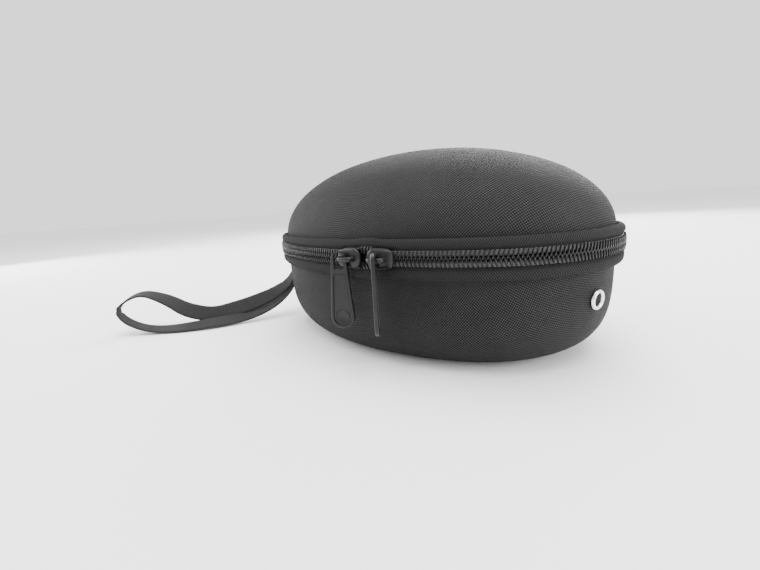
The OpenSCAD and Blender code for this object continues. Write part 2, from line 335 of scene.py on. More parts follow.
def rib(tree, coord, pitch):
    """A rounded rib every pitch along a coordinate, from 0 to 1."""
    wave = maths(tree, "SINE", times(tree, coord, math.pi / pitch))
    return maths(tree, "ABSOLUTE", wave)


def cell(tree, coord, pitch):
    """The number of the yarn that a coordinate falls on."""
    return maths(tree, "FLOOR", times(tree, coord, 1 / pitch))


def speckle(tree, scale, detail=3.0):
    coord = tree.nodes.new("ShaderNodeTexCoord")
    tex = tree.nodes.new("ShaderNodeTexNoise")
    tex.inputs["Scale"].default_value = scale
    tex.inputs["Detail"].default_value = detail
    tree.links.new(coord.outputs["Object"], tex.inputs["Vector"])
    return tex.outputs["Fac"]


def ramp(tree, fac, low, high, at0=0.0, at1=1.0):
    node = tree.nodes.new("ShaderNodeValToRGB")
    node.color_ramp.elements[0].color = (*low, 1)
    node.color_ramp.elements[1].color = (*high, 1)
    node.color_ramp.elements[0].position = at0
    node.color_ramp.elements[1].position = at1
    tree.links.new(fac, node.inputs[0])
    return node.outputs[0]


def bump(tree, shader, height, distance, strength=1.0, under=None):
    node = tree.nodes.new("ShaderNodeBump")
    node.inputs["Distance"].default_value = distance
    node.inputs["Strength"].default_value = strength
    tree.links.new(height, node.inputs["Height"])
    if under is not None:
        tree.links.new(under.outputs[0], node.inputs["Normal"])
    tree.links.new(node.outputs[0], shader.inputs["Normal"])
    return node


def basket(name, dark, light, pitch, depth, sheen=0.0, rough=0.66):
    """Plain weave of thick yarns over and under each other, coloured lighter on the yarns' crowns
    as painted highlight and darker in the gaps between them as painted shade.
    """
    mat, tree, shader = new_material(name, dark, rough, sheen, spec=0.09)
    u, v = split_uv(tree)
    over = rib(tree, u, pitch)
    under = rib(tree, v, pitch)
    odd = maths(tree, "PINGPONG", add(tree, cell(tree, u, pitch), cell(tree, v, pitch)), 1)
    even = maths(tree, "SUBTRACT", 1, odd)
    across = add(tree, times(tree, over, odd), times(tree, under, even))
    along = add(tree, times(tree, under, odd), times(tree, over, even))
    crown = maths(tree, "POWER", across, 0.6)
    height = times(tree, crown, add(tree, times(tree, along, 0.55), 0.45))
    fibre = speckle(tree, FIBRE_FINE, 2.0)
    cloud = speckle(tree, 60.0, 2.0)
    uneven = times(tree, add(tree, fibre, cloud), 0.22)
    # Colour from the weave's height: the lighter yarn crowns are painted highlight and the darker
    # gaps between yarns are painted shade, over random fibre and cloud tone.
    tone = add(tree, times(tree, height, 0.8), uneven)
    tree.links.new(ramp(tree, tone, dark, light, 0.42, 0.98), shader.inputs["Base Color"])
    worn = add(tree, rough - 0.1, times(tree, cloud, 0.2))
    tree.links.new(worn, shader.inputs["Roughness"])
    fine = add(tree, height, times(tree, fibre, 0.18))
    bump(tree, shader, fine, depth)
    return mat


def herringbone(name, dark, light, pitch, half, depth):
    """Ribs that slant one way on one side of the middle and the other way on the other."""
    mat, tree, shader = new_material(name, dark, 0.8, 0.0, spec=0.07)
    u, v = split_uv(tree)
    fold = maths(tree, "ABSOLUTE", maths(tree, "SUBTRACT", v, half))
    slant = add(tree, u, times(tree, fold, 0.75))
    ribs = maths(tree, "POWER", rib(tree, slant, pitch), 1.1)
    ply = rib(tree, fold, 0.55)
    fibre = speckle(tree, FIBRE, 2.0)
    tone = add(tree, times(tree, ribs, 0.7), times(tree, fibre, 0.35))
    tree.links.new(ramp(tree, tone, dark, light, 0.22, 0.9), shader.inputs["Base Color"])
    height = add(tree, ribs, times(tree, add(tree, ply, fibre), 0.15))
    bump(tree, shader, height, depth)
    return mat


def ribbed(name, dark, light, pitch, depth, rough=0.75, sheen=0.0):
    """Cross ribs of a narrow woven band with fine warp ends over them."""
    mat, tree, shader = new_material(name, dark, rough, sheen, spec=0.1)
    u, v = split_uv(tree)
    ribs = maths(tree, "POWER", rib(tree, u, pitch), 0.8)
    ends = rib(tree, v, 0.42)
    fibre = speckle(tree, FIBRE, 2.0)
    hairy = add(tree, ends, fibre)
    tone = add(tree, times(tree, ribs, 0.6), times(tree, hairy, 0.22))
    tree.links.new(ramp(tree, tone, dark, light, 0.1, 1.0), shader.inputs["Base Color"])
    height = add(tree, ribs, times(tree, hairy, 0.2))
    bump(tree, shader, height, depth)
    return mat


def grainy(name, dark, light, scale, rough, depth, metal=0.0, sheen=0.0, spec=0.5):
    """A fine grain over wide soft clouds, in colour and in roughness."""
    mat, tree, shader = new_material(name, dark, rough, sheen, metal, spec)
    fine = speckle(tree, scale)
    wide = speckle(tree, scale / 14)
    tone = add(tree, times(tree, fine, 0.5), times(tree, wide, 0.5))
    tree.links.new(ramp(tree, tone, dark, light, 0.3, 0.7), shader.inputs["Base Color"])
    worn = add(tree, rough - 0.08, times(tree, wide, 0.16))
    tree.links.new(worn, shader.inputs["Roughness"])
    bump(tree, shader, fine, depth)
    return mat


# Ribs and yarns have their pitch in millimetres; the depth of a bump is in metres.
# On the cover the light colour is painted highlight on the yarns' crowns and the dark colour is
# painted shade in the gaps between them.
COVER = basket("woven_cover", dark=(0.0008, 0.0008, 0.0009), light=(0.042, 0.042, 0.043),
               pitch=0.85, depth=0.0006)
TAPE = herringbone("zip_tape", dark=(0.001, 0.001, 0.0011), light=(0.028, 0.028, 0.029),
                   pitch=0.95, half=TAPE_FOLD, depth=0.0003)
WEB = ribbed("webbing", dark=(0.004, 0.004, 0.0042), light=(0.036, 0.036, 0.037),
             pitch=STRAP_RIB, depth=0.00015)
BAND = ribbed("elastic", dark=(0.01, 0.01, 0.011), light=(0.04, 0.04, 0.042),
              pitch=0.9, depth=0.00015)
BINDING = ribbed("binding", dark=(0.011, 0.011, 0.0115), light=(0.045, 0.045, 0.047),
                 pitch=0.6, depth=0.0001)
LINING = grainy("lining", dark=(0.014, 0.014, 0.015), light=(0.04, 0.04, 0.043),
                scale=1500.0, rough=0.92, depth=0.00012, sheen=0.15, spec=0.2)
FOAM = grainy("foam", dark=(0.012, 0.012, 0.012), light=(0.03, 0.03, 0.03),
              scale=900.0, rough=0.9, depth=0.0002)
NET = grainy("net", dark=(0.008, 0.008, 0.008), light=(0.028, 0.028, 0.03),
             scale=2000.0, rough=0.7, depth=0.00005, sheen=0.2)
THREAD = grainy("thread", dark=(0.012, 0.012, 0.0125), light=(0.055, 0.055, 0.058),
                scale=2600.0, rough=0.6, depth=0.00006, sheen=0.3)
COIL = grainy("zip_coil", dark=(0.001, 0.001, 0.0011), light=(0.003, 0.003, 0.0033),
              scale=700.0, rough=0.22, depth=0.00002, spec=0.26)
GUN = grainy("slider_metal", dark=(0.005, 0.005, 0.0055), light=(0.01, 0.01, 0.011),
             scale=420.0, rough=0.36, depth=0.00001, metal=0.08, spec=0.27)
CHROME = grainy("eyelet_metal", dark=(0.78, 0.78, 0.79), light=(0.9, 0.9, 0.9),
                scale=260.0, rough=0.2, depth=0.000004, metal=1.0)


# ---------------------------------------------------------------- moulded shells
# A cover's and a lining's unevenness: the size of its wide and small dents, and the
# distance from the rim over which its dents in the wall set in.
DENT_WIDE = 26.0
DENT_SMALL = 7.0
RIM_STIFF = 2.0
FLOOR_RINGS = 8


def lid_level(inset, depth, a):
    """Inset, scale and height of the lid at an angle from its rim, 0, to its crown."""
    k = max(math.cos(a), 0.0) ** (2 / DOME_P)
    z = RIM_GAP + (LID_H - RIM_GAP - depth) * math.sin(a) ** (2 / DOME_P)
    return inset, k, SEAM_H + z


def base_level(inset, depth, a):
    """Inset, scale and height of the base at an angle from its rim, 0, to its floor."""
    k = FLOOR_K + (1 - FLOOR_K) * max(math.cos(a), 0.0) ** (2 / CORNER_Q)
    z = SEAM_H - RIM_GAP - (SEAM_H - RIM_GAP - depth) * math.sin(a) ** (2 / WALL_P)
    return inset, k, z


def shell_rings(level, inset, depth, steps):
    """Rings from the rim to the last level, even along the wall."""
    samples = 2000
    fine = [level(inset, depth, math.pi / 2 * i / samples) for i in range(samples + 1)]
    run = [0.0]
    for (_, k0, z0), (_, k1, z1) in zip(fine, fine[1:]):
        run.append(run[-1] + math.hypot((k1 - k0) * 0.5 * (HALF_L + HALF_W), z1 - z0))
    out = []
    j = 0
    for s in range(steps + 1):
        target = run[-1] * s / steps
        while run[j] < target - 1e-9:
            j += 1
        out.append((fine[j], run[j]))
    return out, run[-1]


def beside(p, hole):
    """How far a point is from a hole's middle and, as a vector, from its axis."""
    off = p - hole[0]
    return off.length, off - hole[1] * off.dot(hole[1])


def shell(name, material, level, inset, depth, wall, steps, step, closed_at, swell, hole=None):
    """An outer skin from rim to crown or floor, turned in at the rim over its thickness.

    closed_at is how far the floor still reaches inward from the last level, or 0 where the
    levels meet in a crown. hole is a middle, an axis and a radius.
    """
    b = Build()
    rings, total = shell_rings(level, inset, depth, steps)
    base = oval(inset, step)
    n = len(base)
    flat_floor = closed_at > 0
    edge = total + closed_at
    ids = []
    for (_, k, z), run in rings:
        row = []
        soft = min(run / RIM_STIFF, 1.0)
        for x, y, nx, ny in base:
            reach = edge - run
            size = math.hypot(x, y)
            p = (x * k, y * k, z)
            bend = (swell * ripple(p, DENT_WIDE, seed=3.1)
                    + 0.35 * swell * ripple(p, DENT_SMALL, seed=1.7))
            lift = bend * soft
            p = (p[0] + nx * lift, p[1] + ny * lift, z + bend * 0.6)
            if flat_floor:
                p = (p[0], p[1], max(p[2], 0.0))
            row.append(b.add(p, (x / size * reach, y / size * reach)))
        ids.append(row)
    if hole is not None:
        radius = hole[2]
        for i in [i for row in ids for i in row]:
            p = Vector(b.points[i])
            far, flat = beside(p, hole)
            if far < radius * 2.0 and flat.length < radius:
                grow = flat.normalized() * radius if flat.length > 1e-6 else Vector((0, 0, radius))
                b.points[i] = tuple(p - flat + grow)
    for a, c in zip(ids, ids[1:]):
        for j in range(n):
            k = (j + 1) % n
            quad = (a[j], a[k], c[k], c[j])
            if hole is not None:
                far, flat = beside(sum((Vector(b.points[i]) for i in quad), Vector()) / 4, hole)
                if far < hole[2] * 2.0 and flat.length < hole[2] * 0.97:
                    continue
            b.faces.append(quad)
    inner = ids[-1]
    tip_z = rings[-1][0][2]
    if flat_floor:
        for s in range(1, FLOOR_RINGS):
            f = 1 - s / FLOOR_RINGS
            row = []
            for i in ids[-1]:
                x, y, z = b.points[i]
                u, v = b.uvs[i]
                row.append(b.add((x * f, y * f, z), (u * f, v * f)))
            b.skin(inner, row)
            inner = row
        tip_z = b.points[inner[0]][2]
    tip = b.add((0, 0, tip_z))
    for j in range(n):
        b.faces.append((inner[j], inner[(j + 1) % n], tip))
    lip_z = b.points[ids[0][0]][2]
    lip = [b.add((x, y, lip_z)) for x, y, _, _ in oval(inset + wall, step)]
    b.skin(ids[0], lip)
    return soften(b.make(name, material), 60)


# Eyelet axis, out of the wall.
drop = (SEAM_H - RIM_GAP - EYELET_H) / (SEAM_H - RIM_GAP)
eyelet_k = FLOOR_K + (1 - FLOOR_K) * (1 - drop ** WALL_P) ** (1 / CORNER_Q)
wall_r = END_R - RIM_INSET
EYELET = Vector((eyelet_k * (END_X + wall_r * math.cos(EYELET_A)),
                 eyelet_k * wall_r * math.sin(EYELET_A),
                 EYELET_H))
AXIS = Vector((math.cos(EYELET_TILT) * math.cos(EYELET_A),
               math.cos(EYELET_TILT) * math.sin(EYELET_A),
               -math.sin(EYELET_TILT)))
# The holes in the cover and the lining clear the barrel a little.
LINING_BEHIND = 5.8
HOLE_THROUGH_COVER = (EYELET, AXIS, HOLE_R + 0.35)
HOLE_THROUGH_LINING = (EYELET - AXIS * LINING_BEHIND, AXIS, HOLE_R + 0.5)
INNER_DEPTH = DEPTH_LINING + LINING_T

lid_skin = shell("lid_skin", COVER, lid_level, inset=RIM_INSET, depth=0.0, wall=COVER_T,
                 steps=96, step=1.3, closed_at=0.0, swell=0.16)
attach(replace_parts(lid_skin, "lid_cover"), "lid")
base_skin = shell("base_skin", COVER, base_level, inset=RIM_INSET, depth=0.0, wall=COVER_T,
                  steps=76, step=1.3, closed_at=50.0, swell=0.16, hole=HOLE_THROUGH_COVER)
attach(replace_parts(base_skin, "base_cover"), "base")

lid_inner = shell("lid_inner", LINING, lid_level, inset=INSET_INSIDE, depth=INNER_DEPTH,
                  wall=-LINING_T, steps=60, step=2.0, closed_at=0.0, swell=0.22)
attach(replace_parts(lid_inner, "lid_lining"), "lid")
base_inner = shell("base_inner", LINING, base_level, inset=INSET_INSIDE, depth=INNER_DEPTH,
                   wall=-LINING_T, steps=56, step=1.6, closed_at=44.0, swell=0.18,
                   hole=HOLE_THROUGH_LINING)
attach(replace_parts(base_inner, "base_lining"), "base")
for name in ("lid_core", "base_core"):
    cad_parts[name].data.materials.clear()
    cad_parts[name].data.materials.append(FOAM)


# ---------------------------------------------------------------- swept bands round the zip
def spline(pts, per):
    """Points on a smooth curve through control points, per of them from each to the next."""
    out = []
    for i in range(len(pts) - 1):
        a, b, c, d = pts[max(i - 1, 0)], pts[i], pts[i + 1], pts[min(i + 2, len(pts) - 1)]
        for j in range(per):
            t = j / per
            out.append(tuple(
                (2 * b[k] + (c[k] - a[k]) * t + (2 * a[k] - 5 * b[k] + 4 * c[k] - d[k]) * t * t
                 + (3 * b[k] - a[k] - 3 * c[k] + d[k]) * t ** 3) / 2 for k in range(len(b))))
    out.append(tuple(pts[-1]))
    return out


def lengths(pts):
    """The distance run at each point of a path."""
    out = [0.0]
    for p, q in zip(pts, pts[1:]):
        out.append(out[-1] + math.dist(p, q))
    return out


def roll(name, sign, reach, ragged):
    """A rolled zip tape: a flat web behind the coil and a proud roll over the rim."""
    front = spline([(1.55, 0.75), (1.5, 2.6), (1.35, 3.5), (0.85, 4.15), (0.62, 4.9),
                    (0.66, reach - 1.9), (0.95, reach - 1.0), (1.6, reach - 0.25),
                    (2.5, reach + 0.05), (3.3, reach - 0.05), (3.72, reach - 0.5)], 4)
    back = [(3.72, 4.5), (3.2, 4.3), (2.2, 4.2), (2.2, 0.75)]
    profile = front + back
    run_v = lengths(profile)
    # Points of the profile: where the roll leaves the web, its pattern's two ends, and where
    # its raw edge starts and ends. The web follows the coil's parting, the roll less so.
    bulge_from = 8
    roll_from, roll_to = 12, 36
    edge_from = 33
    edge_to = len(front) + 1
    web_high = 3.4
    middle = (run_v[roll_from] + run_v[roll_to]) / 2
    b = Build()
    rings = []
    for arc, a, run in zip_path(0.7):
        shift = parting(run)
        row = []
        for j, (inset, z) in enumerate(profile):
            x, y = station(arc, a, inset)
            wave = (0.1 * ripple((x, y, z), 5.0, seed=2.0 + sign)
                    + 0.16 * ripple((x, y, z), 19.0, seed=5.0))
            zz = z + shift * (0.9 if z < web_high else 0.32)
            proud = wave if bulge_from < j < edge_to else 0.0
            if ragged and edge_from <= j <= edge_to:
                zz += 0.22 * ripple((run, 0.0, j * 0.2), 0.9, seed=9.0)
                zz += 0.16 * ripple((run, 0.0, 0.0), 3.1, seed=4.0)
            x += math.cos(a) * proud
            y += math.sin(a) * proud
            row.append(b.add((x, y, SEAM_H + sign * zz), (run, TAPE_FOLD + run_v[j] - middle)))
        rings.append(row)
    b.loft(rings)
    return b.make(name, TAPE)


upper_roll = roll("upper_roll", 1, reach=7.2, ragged=False)
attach(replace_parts(upper_roll, "upper_zip_tape"), "lid")
lower_roll = roll("lower_roll", -1, reach=8.2, ragged=True)
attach(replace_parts(lower_roll, "lower_zip_tape"), "base")


def teeth(name, sign, phase):
    """One row of the coil: a leg and a bent head for every turn of the filament."""
    b = Build()
    count = int(ZIP_LENGTH / TOOTH_PITCH) - 1
    # Along the zip, inward from its face and up from the parting line.
    shape = ((0.52, 0.72, 3.0), (0.34, 0.5, 2.35), (0.06, 0.42, 1.3), (-0.2, 0.42, 0.35),
             (-0.3, 0.62, -0.22), (-0.22, 1.05, -0.3), (0.02, 1.3, 0.4), (0.4, 1.35, 2.6))

    def thick(f):
        """The filament's radius, pressed wider at its head."""
        return 0.36 + 0.1 * math.exp(-((f - 0.52) / 0.16) ** 2)

    for i in range(count):
        run = TOOTH_PITCH * (i + 0.8 + phase)
        arc, a = along_zip(run)
        shift = parting(run)
        jig = 0.03 * noise(Vector((run * 0.7, sign * 3.0, 1.0)))
        path = []
        for dx, inset, z in shape:
            x, y = station(arc, a, inset)
            x += -math.sin(a) * (dx + jig)
            y += math.cos(a) * (dx + jig)
            path.append((x, y, SEAM_H + sign * (z + shift)))
        b.tube(path, thick, 6)
    return b.make(name, COIL)


def filler(name, sign):
    """The cord and sewing that hold a row of the coil to its tape."""
    b = Build()
    rings = []
    section = [(1.55, 0.9), (0.95, 1.1), (0.78, 1.7), (0.85, 2.3), (1.15, 2.8), (1.6, 3.0)]
    for arc, a, run in zip_path(0.54):
        shift = parting(run)
        twist = 0.08 * math.sin(2 * math.pi * run / TOOTH_PITCH)
        row = []
        for inset, z in section:
            x, y = station(arc, a, inset + twist)
            row.append(b.add((x, y, SEAM_H + sign * (z + shift)), (run, z)))
        rings.append(row)
    b.loft(rings)
    return b.make(name, THREAD)


for name, sign, phase, node, body in (
        ("upper_teeth", 1, 0.0, "upper_zip_coil", "lid"),
        ("lower_teeth", -1, 0.5, "lower_zip_coil", "base")):
    row = teeth(name, sign, phase)
    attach(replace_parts(row, node), body)
    cord = filler(name + "_cord", sign)
    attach(cord, body)


def rim_band(name, sign):
    """Cloth binding folded over the foam's rim and down its inside."""
    profile = spline([(4.1, 4.4), (4.0, 3.95), (5.2, 3.72), (7.5, 3.7), (9.4, 3.75),
                      (10.25, 4.05), (10.6, 4.9), (10.75, 6.3), (10.75, 7.3), (10.4, 7.65),
                      (10.05, 7.3), (9.85, 6.0), (9.5, 4.7), (8.8, 4.42)], 2)
    run_v = lengths(profile)
    b = Build()
    rings = []
    run = 0.0
    centre_inset = 5.0
    outer_points = 10
    centre = oval(centre_inset, 1.2)
    for i, (x, y, nx, ny) in enumerate(centre):
        row = []
        for j, (inset, z) in enumerate(profile):
            soft = 0.12 * ripple((x, y, z), 4.0, seed=6.0 + sign) if j < outer_points else 0.0
            d = centre_inset - inset
            p = (x + nx * d, y + ny * d, SEAM_H + sign * (z - soft))
            row.append(b.add(p, (run, run_v[j])))
        nxt = centre[(i + 1) % len(centre)]
        run += math.hypot(nxt[0] - x, nxt[1] - y)
        rings.append(row)
    b.wrap(rings)
    return b.make(name, BINDING)


THREAD_R = 0.2


def stitch_row(name, sign, inset, z, pitch, length):
    """A row of lock stitches lying on a band."""
    b = Build()
    for x, y, nx, ny in oval(inset, pitch):
        tx, ty = -ny, nx
        path = []
        for f in (-0.5, -0.3, 0.0, 0.3, 0.5):
            sink = 0.22 * (2 * abs(f)) ** 3
            path.append((x + tx * f * length, y + ty * f * length, SEAM_H + sign * (z + sink)))
        b.tube(path, THREAD_R, 5)
    return b.make(name, THREAD)


for name, sign, node, body in (
        ("lid_rim_band", 1, "lid_binding", "lid"),
        ("base_rim_band", -1, "base_binding", "base")):
    rim = rim_band(name, sign)
    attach(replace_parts(rim, node), body)
    sewing = stitch_row(name + "_stitches", sign, inset=6.4, z=3.62, pitch=3.2, length=2.5)
    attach(sewing, body)


# ---------------------------------------------------------------- fabric hinge at the back
def hinge_cloth(name, material, front, thick, low, high, slack):
    """A cloth across the hinge, with its slack taken up at the line of the fold."""
    b = Build()
    arc = ARCS[1]
    columns = 96
    rows = 28
    fold_reach = 4.0
    a0 = math.pi / 2 - HINGE
    a1 = math.pi / 2 + HINGE
    faces = []
    for side in (0.0, thick):
        grid = []
        for j in range(rows + 1):
            z = low + (high - low) * j / rows
            dip = slack * math.cos(math.pi * min(abs(z) / fold_reach, 1.0) / 2) ** 2
            line = []
            for i in range(columns + 1):
                a = a0 + (a1 - a0) * i / columns
                x, y = station(arc, a, front + side + dip)
                y += 0.12 * ripple((x, z * 2.0, 0.0), 6.0, seed=8.0)
                line.append(b.add((x, y, SEAM_H + z), (x, z)))
            grid.append(line)
        faces.append(grid)
    for grid in faces:
        for p, q in zip(grid, grid[1:]):
            b.skin(p, q, False)
    b.skin(faces[0][0], faces[1][0], False)
    b.skin(faces[0][-1], faces[1][-1], False)
    for end in (0, -1):
        b.skin([line[end] for line in faces[0]], [line[end] for line in faces[1]], False)
    return b.make(name, material)


outer_hinge = hinge_cloth("hinge_cloth", COVER, front=2.7, thick=0.6, low=-8.3, high=7.3,
                          slack=-0.5)
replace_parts(outer_hinge, "hinge_strip")
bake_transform(outer_hinge)
inner_hinge = hinge_cloth("hinge_gusset", LINING, front=9.5, thick=0.5, low=-4.6, high=4.6,
                          slack=0.9)
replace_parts(inner_hinge, "hinge_lining")
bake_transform(inner_hinge)


# ---------------------------------------------------------------- net pocket in the lid
POCKET_RISE = (POCKET_H + 2 - RIM_GAP) / (LID_H - RIM_GAP - DEPTH_LINING - LINING_T)
POCKET_K = (1 - POCKET_RISE ** DOME_P) ** (1 / DOME_P)
POCKET_INSET = INSET_INSIDE + 0.2
POCKET_Z = SEAM_H + POCKET_H + 0.5


def in_pocket(x, y):
    """Whether a point in the pocket's plane lies on its net."""
    x, y = x / POCKET_K, y / POCKET_K
    if y < 1.0:
        return False
    if math.hypot(x, y + SIDE_Y) > SIDE_R - POCKET_INSET:
        return False
    return abs(x) < END_X or math.hypot(abs(x) - END_X, y) < END_R - POCKET_INSET


def net(name):
    """Two sets of fine cords crossing over and under each other."""
    b = Build()
    gap = 1.7
    step = 1.1
    cords = 84
    points = 130
    cord_r = 0.28
    root_2 = 1.414
    for way in (1, -1):
        for c in range(-cords, cords + 1):
            path = []
            for t in range(-points, points + 1):
                s = t * step
                x = (c * gap * root_2 + s) / root_2
                y = way * (s - c * gap * root_2) / root_2
                if not in_pocket(x, y):
                    if len(path) > 2:
                        b.tube(path, cord_r, 4)
                    path = []
                    continue
                deep = math.sin(math.pi * min(max(y / 50, 0), 1))
                sag = 0.9 * (1 - (x / HALF_L) ** 2) * deep
                over = 0.16 * way * math.cos(math.pi * s / gap)
                path.append((x, y, POCKET_Z - sag + over))
            if len(path) > 2:
                b.tube(path, cord_r, 4)
    return b.make(name, NET)


def pocket_band(name):
    """Gathered elastic along the pocket's free edge."""
    b = Build()
    reach = POCKET_K * (END_X + END_R - POCKET_INSET)
    rings = []
    steps = 420
    gather = 2.6
    section = [(-2.0, -0.3), (-1.8, -0.8), (0, -0.95), (1.8, -0.8), (2.0, -0.3),
               (2.0, 0.3), (1.8, 0.8), (0, 0.95), (-1.8, 0.8), (-2.0, 0.3)]
    for i in range(steps + 1):
        x = -reach + 2 * reach * i / steps
        uneven = 1.3 * ripple((x, 0, 0), 9.0, seed=2.0)
        puff = 1 + 0.14 * math.cos(2 * math.pi * x / gather + uneven)
        sag = 0.5 * (1 - (x / reach) ** 2)
        pinch = 1 + 0.04 * math.sin(x * 2.4)
        rings.append([b.add((x, y * pinch, POCKET_Z - sag + z * puff), (x, y + z))
                      for y, z in section])
    b.loft(rings)
    return b.make(name, BAND)


pocket = net("pocket_net")
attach(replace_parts(pocket, "mesh_pocket"), "lid")
elastic = pocket_band("pocket_band")
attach(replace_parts(elastic, "pocket_elastic"), "lid")


# ---------------------------------------------------------------- sliders
def on_chain(a):
    """A slider's own axes at an angle along the front of the zip."""
    return (Matrix.Translation((0, SIDE_Y, SEAM_H)) @ Matrix.Rotation(a, 4, "Z")
            @ Matrix.Translation((0, -SIDE_R, 0)))


def rounded(points, times=2):
    """The same outline with its corners cut round."""
    for _ in range(times):
        out = []
        for (x0, y0), (x1, y1) in zip(points, points[1:] + points[:1]):
            out.append((0.75 * x0 + 0.25 * x1, 0.75 * y0 + 0.25 * y1))
            out.append((0.25 * x0 + 0.75 * x1, 0.25 * y0 + 0.75 * y1))
        points = out
    return points


def plate_outline(l, h):
    """A slider's plate: rounded at its mouth, at +X, and cut square at its tail."""
    mouth = []
    for a in range(90, -91, -15):
        turn = math.radians(a)
        mouth.append((l / 2 - MOUTH_ROUND * (1 - math.cos(turn)), h / 2 * math.sin(turn)))
    slope = 1.4
    tail = [(-l / 2 + slope, 0.5 - h / 2), (-l / 2, TAIL_IN - h / 2),
            (-l / 2, h / 2 - TAIL_IN), (-l / 2 + slope, h / 2 - 0.5)]
    return rounded(mouth + tail)


def stack(b, outline, levels):
    """Closed solid through copies of an outline, each at a depth and a size."""
    rings = []
    for depth, s in levels:
        rings.append(b.ring([(x * s, depth, z * s) for x, z in outline]))
    b.loft(rings)


def slider(name, matrix):
    """Front plate, back plate, rails, two bosses, web and crown of one slider."""
    b = Build()
    stack(b, plate_outline(SLIDER_L, PLATE_H),
          [(-0.35, 0.97), (-0.5, 1.0), (-1.25, 1.0), (-1.5, 0.975),
           (-1.7, 0.92), (-1.84, 0.82), (-1.93, 0.6), (-1.97, 0.3)])
    stack(b, plate_outline(SLIDER_L - 1, PLATE_H - 0.6),
          [(2.6, 0.97), (2.72, 1.0), (3.3, 1.0), (3.46, 0.97), (3.55, 0.9)])
    rail = ((-4.4, 2.9), (-3.0, 3.45), (0.0, 3.75), (3.5, 3.78), (5.0, 3.6))
    for side in (-1, 1):
        b.tube(spline([(x, -0.1, side * z) for x, z in rail], 4), radius=0.42, sides=10)
        boss = [(side * 3.0, -1.5, 0.0), (side * 3.2, -2.2, 0.0)]
        b.tube(boss, radius=1.35, sides=16, flat=1.05)
    web = [(1.4, -0.4), (5.4, -0.4), (5.4, 0.4), (1.4, 0.4)]
    stack(b, rounded(web, 1), [(-0.7, 1.0), (2.9, 1.0)])
    leg = [(LEG_X, -1.5), (LEG_X + 0.05, -3.0), (LEG_X - 0.05, -4.4), (LEG_X - 0.7, -5.15),
           (LEG_X - 1.7, CROWN_Y)]
    crown = [(-x, y) for x, y in leg] + [(0, CROWN_Y - 0.08)] + leg[::-1]
    arch = spline([(x, y, 0) for x, y in crown], 5)
    b.tube(arch, radius=lambda f: 0.66 + 0.16 * abs(2 * f - 1) ** 3, sides=14, flat=1.45)
    return soften(b.make(name, GUN, True, matrix), 40)


LEFT = on_chain(LEFT_A)
RIGHT = on_chain(RIGHT_A) @ Matrix.Scale(-1, 4, (1, 0, 0))
for name, matrix in (("slider_left", LEFT), ("slider_right", RIGHT)):
    body = slider(name + "_body", matrix)
    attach(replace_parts(body, name), name)


# ---------------------------------------------------------------- pull tabs
def circle_points(cx, cy, r, a0, a1, n):
    """Points on an arc, with both its ends."""
    out = []
    for i in range(n + 1):
        a = a0 + (a1 - a0) * i / n
        out.append((cx + r * math.cos(a), cy + r * math.sin(a)))
    return out


def tab_outline(trim, top, top_r):
    """The tab's outline set in by a distance, from its rounded end up to a given height."""
    low = TAB_W / 2 - TAB_L
    low_r = TAB_W / 2 - trim
    end = circle_points(0, low, low_r, math.pi, 2 * math.pi, 28)
    if top_r > 0:
        head = circle_points(0, 0, top_r - trim, 0, math.pi, 22)
        return end + head
    half = TAB_TOP_R + (TAB_W / 2 - TAB_TOP_R) * top / low - trim
    corner = 0.8
    head = (circle_points(half - corner, top - corner, corner, 0, math.pi / 2, 6)
            + circle_points(-half + corner, top - corner, corner, math.pi / 2, math.pi, 6))
    return end + head


def window_outline(grow):
    """The tab's window, wider all round by a distance."""
    half = WINDOW_W / 2 + grow
    low = WINDOW_TOP - WINDOW_DROP - 0.4 - grow
    corner = 0.7
    top = circle_points(0, WINDOW_TOP - 0.4, half, 0, math.pi, 18)
    foot = (circle_points(-half + corner, low + corner, corner, math.pi, 1.5 * math.pi, 5)
            + circle_points(half - corner, low + corner, corner, 1.5 * math.pi, 2 * math.pi, 5))
    return top + foot


def tab(name, matrix):
    """A die-cast pull: raised rim, open window, sunken panel and a plain raised disc."""
    b = Build()
    half = TAB_T / 2
    rim_y = half + 0.2
    floor_y = half - 0.22
    disc_y = half + 0.02
    outer = tab_outline(0.0, 0, TAB_TOP_R)
    crest = tab_outline(0.3, 0, TAB_TOP_R)
    window = window_outline(0.0)
    window_rim = window_outline(0.22)
    panel = tab_outline(1.05, -6.1, 0)
    panel_foot = tab_outline(1.3, -6.35, 0)
    sides = 48

    def disc(r):
        around = 2 * math.pi * (sides - 1) / sides
        return circle_points(0, TAB_W / 2 - TAB_L, r, 0, around, sides - 1)

    def lay(loop, y):
        return b.ring([(x, y, z) for x, z in loop])

    def fill(loops):
        flat = [i for ids in loops for i in ids]
        sheets = [[Vector((b.points[i][0], b.points[i][2], 0)) for i in ids] for ids in loops]
        for tri in tessellate_polygon(sheets):
            b.faces.append(tuple(flat[k] for k in tri))

    outer_ids = {}
    window_ids = {}
    for s in (-1, 1):
        edge = lay(outer, s * half)
        top = lay(crest, s * rim_y)
        b.skin(edge, top)
        outer_ids[s] = edge
        hole_edge = lay(window, s * half)
        hole_top = lay(window_rim, s * rim_y)
        b.skin(hole_edge, hole_top)
        window_ids[s] = hole_edge
        panel_top = lay(panel, s * rim_y)
        panel_low = lay(panel_foot, s * floor_y)
        b.skin(panel_top, panel_low)
        ring_low = lay(disc(3.05), s * floor_y)
        ring_top = lay(disc(2.75), s * disc_y)
        b.skin(ring_low, ring_top)
        step_top = lay(disc(2.3), s * disc_y)
        b.skin(ring_top, step_top)
        step_low = lay(disc(2.05), s * (disc_y - 0.12))
        b.skin(step_top, step_low)
        fill([top, hole_top, panel_top])
        fill([panel_low, ring_low])
        fill([step_low])
    b.skin(outer_ids[-1], outer_ids[1])
    b.skin(window_ids[-1], window_ids[1])
    return soften(b.make(name, GUN, True, matrix), 28)


